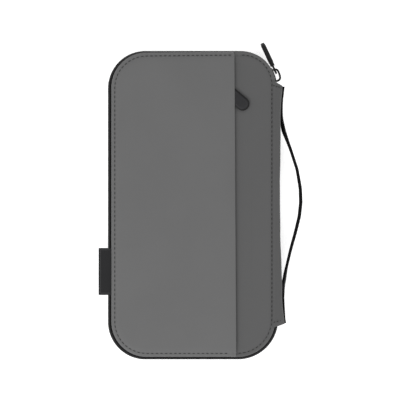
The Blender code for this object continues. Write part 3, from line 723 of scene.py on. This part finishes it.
def coil(body, path, foot, tip, sizes, phase):
    """A row of coil teeth standing on a tape's edge, each a rounded block across the chain."""
    dense = even(path, sizes.tooth_pitch / 2)
    line, side = dense[phase::2], path_of(dense)[1][phase::2]
    centres = at_height(line, (foot + tip) / 2)
    ups = np.column_stack([side, np.zeros(len(side))])
    tangents = np.tile([0.0, 0.0, 1.0 if tip > foot else -1.0], (len(line), 1))
    wide = TOOTH_SHARE * sizes.tooth_pitch
    verts, faces = capsules(centres, tangents, ups, abs(tip - foot), wide, CHAIN_WIDTH, 8, 7)
    teeth = put_mesh(f"zip_teeth_{body}_coil", verts, faces, "nylon", body)
    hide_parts(f"zip_teeth_{body}")


def edge_cord(body, path, z, radius=0.55 * MM):
    """The thick woven edge of a tape, under its teeth: a circle carried along the zip."""
    t = np.linspace(0, TAU, 12, endpoint=False)
    section = np.column_stack([radius * np.cos(t), z + radius * np.sin(t)])[::-1]
    verts, faces, uvs = sweep(path, section)
    put_mesh(f"zip_edge_cord_{body}", verts, faces, "tape", body, uvs)


def make_zip(sizes):
    """The main zip: two woven tapes and two rows of coil teeth that mesh between them."""
    whole, closed = band_path(), band_path(SLIDER_DEG + CHAIN_HALF_DEG)
    lap, bite, seat = 0.3 * MM, 0.55 * MM, 0.2 * MM
    tapes = (
        ("back", 0.0, TAPE_BACK_LOW[2], TEETH_BACK_LOW[2] + lap, BACK_HIGH[2]),
        ("front", 2.0, TEETH_FRONT_HIGH[2] - lap, TAPE_FRONT_HIGH[2], COVER_LOW[2] - lap),
    )
    for body, end, low, high, sewn in tapes:
        verts, faces, uvs = sweep(band_path(end, TAPE_START), tape_section(low, high, sewn + lap / 2))
        tape = put_mesh(f"zip_tape_{body}_weave", verts, faces, "tape", body, uvs)
        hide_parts(f"zip_tape_{body}")
    coil("back", whole, TEETH_BACK_LOW[2] - seat, CHAIN_Z + bite, sizes, 0)
    coil("front", closed, TEETH_FRONT_HIGH[2] + seat, CHAIN_Z - bite, sizes, 1)
    edge_cord("back", whole, TEETH_BACK_LOW[2])
    edge_cord("front", closed, TEETH_FRONT_HIGH[2])


def find_node(node):
    """The packed object of a node."""
    return frame["nodes"][node]


def softened(node, body, width):
    """A copy of a packed metal node, welded and with its edges rounded, in place of the node."""
    mesh = find_node(node).data.copy()
    made = place_object(f"{node}_finished", mesh)
    weld = made.modifiers.new("weld", "WELD")
    weld.merge_threshold = 0.002 * MM
    edge = made.modifiers.new("edge", "BEVEL")
    edge.width, edge.segments, edge.limit_method, edge.angle_limit = width, 3, "ANGLE", np.radians(28)
    edge.harden_normals = True
    mesh.materials.clear()
    mesh.materials.append(LOOKS["metal"])
    mesh.shade_smooth()
    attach(made, body)
    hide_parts(node)


# Each metal node, the body it rides on and the rounding of its edges in mm.
FITTINGS = (
    ("main_slider", "main_slider", 0.22), ("main_pull", "main_pull", 0.3),
    ("pocket_slider", "pocket_slider", 0.12), ("pocket_pull", "pocket_pull", 0.3),
    ("zip_stop_bottom", "back", 0.2), ("zip_stop_top", "back", 0.2),
    ("pocket_stop_top", "front", 0.15), ("pocket_stop_bottom", "front", 0.15),
)
# Each pull: its joint, the way it points in degrees, its length, width and thickness in mm, and whether it
# stands on its edge.
PULLS = (
    ("pocket_pull", "pocket_pull_swing", -40.0, 25.0, 10.2, 1.1, False),
    ("main_pull", "main_pull_swing", 115.2, 24.6, 9.2, 2.8, True),
)
PULL_RIM, PULL_EYE = 1.15 * MM, 8.2 * MM


def make_fittings(sizes):
    """Sliders, stops and pulls in black coated metal."""
    for node, body, width in FITTINGS:
        softened(node, body, width * MM)
    for pull in PULLS:
        pull_plates(*pull)


def pull_plates(body, joint, turn, length, width, thick, upright):
    """Raised centre of a pull's flat plate: a rounded island inside the rim, on each side that shows."""
    pivot = np.array(JOINTS[joint]["pos_m"])
    pivot[2] = CHAIN_Z if upright else (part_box(body)[0].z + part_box(body)[1].z) / 2
    half = width / 2 * MM - PULL_RIM
    radii = np.array([half, half, 1.2 * MM, 1.2 * MM]) * 0.98
    base, crest = thick / 2 * MM - 0.1 * MM, thick / 2 * MM + 0.28 * MM
    c, s = np.cos(np.radians(turn)), np.sin(np.radians(turn))
    for side, letter in ((1, "a"), (-1, "b")) if upright else ((1, "a"),):
        verts, faces = flat_island(PULL_EYE, length * MM - PULL_RIM, half, radii, base, crest)
        if side < 0:
            verts, faces = verts * [1, 1, -1], [f[::-1] for f in faces]
        x, y, z = verts.T
        if upright:
            y, z = -z, y
        spun = np.column_stack([x * c - y * s, x * s + y * c, z])
        # Each island gets the lighter copy of the lacquer: a painted highlight.
        put_mesh(f"{body}_island_{letter}", spun + pivot, faces, "pad", body)


def flat_island(start, end, half, radii, base, crest):
    """A low dome on a rounded outline, as rings from its foot to its middle."""
    rows = [(0.0, base), (0.0, base + 0.12 * MM), (0.12 * MM, crest - 0.1 * MM), (0.4 * MM, crest)]
    rows += [(half * k, crest + 0.08 * MM * k) for k in (0.4, 0.7, 0.9)]
    rings = []
    for inset, z in rows:
        flat = outline(np.array([start, -half]), np.array([end, half]), radii, inset, 16, 16, 6)
        rings.append(at_height(flat, z))
    return np.concatenate(rings), tube_faces(len(rings), len(rings[0]))


def make_pocket_zip(sizes):
    """Coil teeth of the pocket zip, on its two plain tapes."""
    for side, phase, way in (("left", 0, 1), ("right", 1, -1)):
        low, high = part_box(f"pocket_teeth_{side}")
        x, wide = (low.x + high.x) / 2, high.x - low.x
        line = even(np.array([[x, low.y], [x, high.y]]), sizes.tooth_pitch / 2)[phase::2]
        tangents = np.tile([1.0, 0, 0], (len(line), 1))
        ups = np.tile([0, 0, 1.0], (len(line), 1))
        centres = at_height(line, (low.z + high.z) / 2) + [0.22 * wide * way, 0, 0]
        tooth = TOOTH_SHARE * sizes.tooth_pitch
        verts, faces = capsules(centres, tangents, ups, 1.25 * wide, tooth, high.z - low.z, 8, 7)
        teeth = put_mesh(f"pocket_teeth_{side}_coil", verts, faces, "nylon", "front")
        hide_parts(f"pocket_teeth_{side}")


# -------- spine, strap and label


# X of the spine's outer face and of the strap at each Y, in mm, drawn out a little at the stitched ends.
DRAWN_OUT = [0, 0.4 * MM]
SPINE_OUT = np.array([
    [-88.0, 65.7], [-80, 64.7], [-70, 64.0], [-58, 63.9], [-45, 63.5], [-23, 62.7], [4.4, 62.4],
    [25, 62.5], [50, 62.9], [68.8, 62.8], [77.7, 63.1], [88.0, 64.3],
]) * MM + DRAWN_OUT
SPINE_MID_X = 62.8 * MM
STRAP_LINE = np.array([
    [-88.1, 66.3], [-85.1, 65.6], [-70.3, 64.8], [-59.9, 65.0], [-48.1, 67.0], [-33.3, 70.5], [-21.5, 73.8],
    [-8.5, 77.0], [2.2, 78.1], [12.6, 77.7], [26.6, 75.3], [40.7, 70.7], [55.5, 65.2], [62.9, 63.9],
    [68.8, 63.5], [77.7, 63.8], [87.8, 65.0],
]) * MM + DRAWN_OUT


def eased(at, knots, passes=3):
    """Values read smoothly between knots: straight runs between them, then averaged with their neighbours."""
    value = np.interp(at, knots[:, 0], knots[:, 1])
    kernel = np.hanning(11)
    for _ in range(passes):
        padded = np.concatenate([2 * value[0] - value[5:0:-1], value, 2 * value[-1] - value[-2:-7:-1]])
        value = np.convolve(padded, kernel / kernel.sum(), mode="valid")
    return value


def spine_ring():
    """The front half of the skin's section, round from the wing's tip.

    Each row is x, z and the share of the flare, which is 1 on the outer side.
    """
    top = SPINE_HIGH[2] + 1.25 * MM
    tip, radius = 57.4, 1.9 * MM
    bend = np.radians(np.linspace(90, 0, 12))
    wing = [(0, -0.42, 0), (0.1, -0.12, 0), (0.4, 0, 0), (1.3, 0.05, 0), (2.0, 0.08, 0), (2.5, -0.12, 0.1)]
    outer = [((tip + x) * MM, top + z * MM, k) for x, z, k in wing]
    turn_x, turn_z = SPINE_MID_X - radius, top - radius - 0.2 * MM
    outer += [(turn_x + radius * np.cos(a), turn_z + radius * np.sin(a), 0.3 + 0.7 * np.cos(a)) for a in bend]
    outer += [(SPINE_MID_X, z, 1.0) for z in np.linspace(top - 3.2 * MM, CHAIN_MID, 8)]
    inner_x = FOLD_X + 0.95 * MM
    inner = [(inner_x, z, 0.0) for z in np.linspace(CHAIN_MID, top - 2.0 * MM, 8)]
    inner += [(inner_x - 0.25 * MM, top - 1.2 * MM, 0), (inner_x - 0.8 * MM, top - 0.72 * MM, 0)]
    inner += [((tip + 1.2) * MM, top - 0.5 * MM, 0)]
    return np.array(outer + inner)


def spine_ends(x):
    """Y of the spine's bottom and top ends at an x: both are cut on a slant."""
    return (-90.3 + (x / MM - 59.3) * 0.324) * MM, (91.8 - (x / MM - 58.5) * 0.585) * MM


def make_spine(sizes):
    """Skin of the spine in two halves, each a section carried from end to end with a wing over its cover."""
    ring = spine_ring()
    rows, cols = 260, len(ring)
    share = np.linspace(0, 1, rows)
    from_end = 1 - np.abs(share * 2 - 1)
    end_pinch = np.minimum(1, from_end * 90 / 1.2)[:, None] ** 0.5
    flare = (eased((share * 2 - 1) * 90 * MM, SPINE_OUT) - SPINE_MID_X)[:, None]
    x = ring[None, :, 0] + flare * ring[None, :, 2]
    z = np.broadcast_to(ring[None, :, 1], x.shape)
    mid = SPINE_HIGH[2] + 0.8 * MM
    z = np.where(z > mid, mid + (z - mid) * (0.3 + 0.7 * end_pinch), z)
    low, high = spine_ends(x)
    y = low + (high - low) * share[:, None]
    crease = 0.10 * MM * np.sin(y * 210 + 1.1) * np.sin(y * 67) * ring[None, :, 2]
    floor = 0.05 * MM
    for half in ("front", "back"):
        height = z if half == "front" else np.maximum(2 * CHAIN_MID - z, floor)
        verts = np.stack([x + crease, y, height], axis=-1)
        faces = tube_faces(rows, cols, half == "front")
        # The skin's finish is the darkened copy of the cover fabric: painted shade.
        skin = put_mesh(f"spine_skin_{half}", verts, faces, "spine", None)
        if half == "front":
            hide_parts("spine_panel")
        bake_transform(skin)
    spine_stitches()


def spine_stitches():
    """Short seams that close both ends of the spine."""
    top = SPINE_HIGH[2] + 1.3 * MM
    for name, a, b in (("top", (58.2, 88.4), (64.0, 86.6)), ("bottom", (58.6, -86.8), (65.6, -85.0))):
        line = even(np.array([a, b]) * MM, 2.1 * MM)
        z = top + 0.04 * MM - np.maximum(0, line[:, 0] - 61.4 * MM) ** 2 * 160
        ahead = np.gradient(np.column_stack([line, z]), axis=0)
        tangent = ahead / np.linalg.norm(ahead, axis=1, keepdims=True)
        ups = np.tile([0, 0, 1.0], (len(line), 1))
        long, wide, thick = 1.4 * MM, 0.8 * MM, 0.6 * MM
        verts, faces = capsules(np.column_stack([line, z]), tangent, ups, long, wide, thick)
        thread_run = put_mesh(f"spine_end_stitches_{name}", verts, faces, "stitch", None)
        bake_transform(thread_run)


def beside(path, side, out, z):
    """Points at a distance out from a flat path along its sides, at the height z."""
    x, y = (path[:, None, k] + side[:, None, k] * out for k in (0, 1))
    return np.stack([x, y, z], axis=-1)


def make_strap(sizes):
    """Flat woven wrist strap in two halves: a rounded section carried along its bow, slightly twisted."""
    low, high = STRAP_LOW[2], STRAP_HIGH[2]
    t = np.linspace(0, TAU, 40, endpoint=False)
    thick, width = 2.15 * MM, high - low
    reach, twist_at, twist_deg = 88.0 * MM, 56 * MM, 14
    across = squared(np.cos(t), 0.45) * thick / 2
    tall = squared(np.sin(t), 0.35) * width / 2
    edge = 0.12 * MM * bell(np.abs(tall), width * 0.36, 0.35 * MM) * np.sign(across)
    section = np.column_stack([across - edge, tall])
    halves = (("top", 1, ("wrist_strap", "strap_end_top")), ("bottom", -1, ("strap_end_bottom",)))
    for half, sign, nodes in halves:
        y = np.linspace(0, reach, 221) * sign
        whole = np.linspace(-reach, reach, 441)
        path = np.column_stack([np.interp(y, whole, eased(whole, STRAP_LINE)), y])
        _, side, along = path_of(path)
        side *= sign
        twist = np.radians(twist_deg) * bell(np.abs(y), twist_at, 9 * MM) * sign
        c, s = np.cos(twist)[:, None], np.sin(twist)[:, None]
        fuller = 1 + 0.22 * bell(path[:, 1:], 0, 26 * MM)
        out = section[None, :, 0] * fuller * c - section[None, :, 1] * s
        up = section[None, :, 0] * s + section[None, :, 1] * c
        verts = beside(path, side, out, (low + high) / 2 + up)
        faces, uvs = tube_faces(len(path), len(t), sign > 0), own_map(along, section)
        strap = put_mesh(f"wrist_strap_{half}", verts, faces, "strap", None, uvs)
        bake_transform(strap)
        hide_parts(*nodes)


def make_label(sizes):
    """A folded woven tab in the left-hand seam, with a plain raised border: a flat cord carried round it."""
    low, high = LABEL_LOW[:2], np.array([LABEL_HIGH[0] + 2.2 * MM, LABEL_HIGH[1]])
    bottom, top = LABEL_LOW[2], LABEL_HIGH[2]

    def ripple(x, y):
        return 0.12 * MM * np.sin((y - low[1]) * 95) * smooth(LABEL_HIGH[0] - x, 0, 8 * MM)

    def upper(x, y, d):
        return top + ripple(x, y)

    def lower(x, y, d):
        return bottom + ripple(x, y)

    radii = np.full(4, 0.35) * MM
    verts, faces = pillow(low, high, radii, upper, lower, 5.4 * MM, 0.4 * MM, (8, 30, 80))
    verts[:, 1] -= slope_top(verts[:, :2])[:, 1] - verts[:, 1]
    label = put_mesh("side_label_weave", verts, faces, "label", "front")
    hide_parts("side_label")
    inset, seam = 1.4 * MM, high[0] - 2.6 * MM
    left, front, back = low[0] + inset, low[1] + inset, high[1] - inset
    path = even(np.array([[seam, front], [left, front], [left, back], [seam, back]]), 0.5 * MM)
    turns = np.linspace(0, TAU, 8, endpoint=False)
    out, up = np.cos(turns)[None, :] * 0.14 * MM, np.sin(turns)[None, :] * 0.08 * MM
    z = upper(path[:, 0], path[:, 1], 0) + 0.02 * MM
    verts = beside(path, path_of(path)[1], out, z[:, None] + up)
    faces = tube_faces(len(path), len(turns), True)
    put_mesh("side_label_border_outer", verts, faces, "label_line", "front")


# -------- inside


CARD_SLOTS = [f"card_slot_{i}" for i in range(1, 6)]
INSIDE_LOOKS = {
    "lining": [
        "back_lining", "front_lining", "ticket_pocket", "passport_pocket", "note_pocket", "pocket_bag",
        "spine_lining", *CARD_SLOTS,
    ],
    "board": ["back_board", "front_board"],
    "cover": ["front_cover"],
    "elastic": ["pen_loop"],
    "tape": ["pocket_tape_left", "pocket_tape_right"],
}
# Each pocket with a bound mouth, its body and which way its face looks.
MOUTHS = [("ticket_pocket", "back", 1), ("passport_pocket", "back", 1), ("note_pocket", "front", -1)]
MOUTHS += [(slot, "front", -1) for slot in CARD_SLOTS]


def make_inside(sizes):
    """Finishes of the linings, boards and pockets, and the edge of each pocket's mouth."""
    for look, nodes in INSIDE_LOOKS.items():
        for node in nodes:
            for slot in find_node(node).material_slots:
                slot.material = LOOKS[look]
    for mouth in MOUTHS:
        bound_mouth(*mouth)


def bound_mouth(node, body, face):
    """A binding folded over a pocket's top edge, a squared oval carried along it, and a row of stitches."""
    low, high = box_of(node)
    across = mouth_width(node, high[1])
    left, right = across[0] + 0.05 * MM, across[1] - 0.05 * MM
    t = np.linspace(0, TAU, 20, endpoint=False)
    half_y, half_z = 1.3 * MM, (high[2] - low[2]) / 2 + 0.1 * MM
    y = high[1] + 0.1 * MM - half_y + half_y * squared(np.cos(t), 0.4)
    z = (low[2] + high[2]) / 2 + half_z * squared(np.sin(t), 0.4)
    x = np.linspace(left, right, 60)
    verts = np.stack(np.broadcast_arrays(x[:, None], y[None, :], z[None, :]), axis=-1)
    put_mesh(f"{node}_binding", verts, tube_faces(len(x), len(t), True), "tape_plain", body)
    row, margin = high[1] - 1.9 * MM, 2 * MM
    line = even(np.array([[left + margin, row], [right - margin, row]]), 2.6 * MM)
    level = (high[2] if face > 0 else low[2]) + face * 0.12 * MM
    middle = at_height(line, level)
    tangent = np.tile([1.0, 0, 0], (len(line), 1))
    ups = np.tile([0, 0, float(face)], (len(line), 1))
    verts, faces = capsules(middle, tangent, ups, 1.8 * MM, 0.35 * MM, 0.25 * MM)
    put_mesh(f"{node}_stitches", verts, faces, "stitch_in", body)


def mouth_width(node, y):
    """How wide a flat pocket is at its top edge."""
    co = np.array([v.co[:] for v in find_node(node).data.vertices])
    edge = co[co[:, 1] > y - 0.4 * MM]
    return edge[:, 0].min(), edge[:, 0].max()


# -------- studio


FLOOR_HALF, FLOOR_DROP = 3.0, 0.6 * MM
FLOOR_GLOW, SURROUND_GLOW = 0.5, 0.9
# Each lamp's place and size in metres, and its power in watts.
LAMPS = (("key", (-0.40, -0.55, 0.85), 0.8, 5.6), ("fill", (0.8, 0.2, 1.3), 1.2, 3.0))
CAMERA_PLACE, CAMERA_SENSOR, CAMERA_LENS = (3.5 * MM, 3.7 * MM, 2.424), 36.0, 292.0


def make_stage(sizes):
    """A pale floor, a pale surround, two soft lamps and a camera straight above."""
    mesh = bpy.data.meshes.new("floor")
    corners = [(x * FLOOR_HALF, y * FLOOR_HALF, -FLOOR_DROP) for x, y in ((-1, -1), (1, -1), (1, 1), (-1, 1))]
    mesh.from_pydata(corners, [], [(0, 1, 2, 3)])
    pale = Finish(
        "pale_floor", Base_Color=(0.95, 0.95, 0.95, 1), Roughness=0.9, Specular_IOR_Level=0.1,
        Emission_Color=WHITE, Emission_Strength=FLOOR_GLOW,
    )
    mesh.materials.append(pale.material)
    floor = place_object("floor", mesh)
    world = bpy.data.worlds.new("pale_surround")
    world.use_nodes = True
    surround = world.node_tree.nodes["Background"]
    surround.inputs["Color"].default_value = WHITE
    surround.inputs["Strength"].default_value = SURROUND_GLOW
    bpy.context.scene.world = world
    bpy.context.scene.view_settings.view_transform = "Standard"
    for name, place, size, watts in LAMPS:
        data = bpy.data.lights.new(name, "AREA")
        data.size, data.energy = size, watts
        lamp = place_object(name, data)
        lamp.location = place
        lamp.rotation_euler = (-Vector(place)).to_track_quat("-Z", "Y").to_euler()
    data = bpy.data.cameras.new("camera")
    data.sensor_width, data.lens = CAMERA_SENSOR, CAMERA_LENS
    camera = place_object("camera", data)
    camera.location = CAMERA_PLACE
    bpy.context.scene.camera = camera


# -------- operators


def operator(name, label, text, work):
    """An operator that runs one maker."""

    def execute(self, context):
        work(context.scene.wallet_sizes)
        return {"FINISHED"}

    parts = {"bl_idname": f"wallet.{name}", "bl_label": label, "__doc__": text, "execute": execute}
    return type(f"WALLET_OT_{name}", (bpy.types.Operator,), parts)


# The build, in order.
STEPS = [
    operator("front", "Front fabric", "Build the fabric beside the flap and its seam", make_front),
    operator("flap", "Flap", "Build the padded flap and its seam", make_flap),
    operator("back", "Back cover", "Build the back cover's fabric and its seam", make_back),
    operator("zip", "Main zip", "Build the zip tapes and coil teeth", make_zip),
    operator("pocket_zip", "Pocket zip", "Build the pocket zip's coil teeth", make_pocket_zip),
    operator("fittings", "Sliders and pulls", "Finish the sliders, stops and pulls", make_fittings),
    operator("spine", "Spine", "Build the spine's skin and end seams", make_spine),
    operator("strap", "Wrist strap", "Build the wrist strap", make_strap),
    operator("label", "Side label", "Build the woven label", make_label),
    operator("inside", "Inside", "Finish the linings, boards and pockets", make_inside),
    operator("stage", "Studio", "Build the floor, lamps and camera", make_stage),
]


class WALLET_PT_build(bpy.types.Panel):
    """Sizes, colours and build steps of the wallet."""

    bl_label = "Passport wallet"
    bl_idname = "WALLET_PT_build"
    bl_space_type = "VIEW_3D"
    bl_region_type = "UI"
    bl_category = "Wallet"

    def draw(self, context):
        for group in (context.scene.wallet_sizes, context.scene.wallet_colours):
            for key in group.__annotations__:
                self.layout.prop(group, key)
        for step in STEPS:
            self.layout.operator(step.bl_idname)


CLASSES = [WalletSizes, WalletColours, *STEPS, WALLET_PT_build]


def register():
    """Adds the classes and the settings they read."""
    for item in CLASSES:
        bpy.utils.register_class(item)
    bpy.types.Scene.wallet_sizes = bpy.props.PointerProperty(type=WalletSizes)
    bpy.types.Scene.wallet_colours = bpy.props.PointerProperty(type=WalletColours)


def unregister():
    """Takes them away again."""
    del bpy.types.Scene.wallet_colours
    del bpy.types.Scene.wallet_sizes
    for item in reversed(CLASSES):
        bpy.utils.unregister_class(item)


def main():
    """Builds the wallet step by step and writes the two boxes."""
    register()
    make_looks()
    for step in STEPS:
        getattr(bpy.ops.wallet, step.bl_idname.split(".")[1])()


if __name__ == "__main__":
    main()
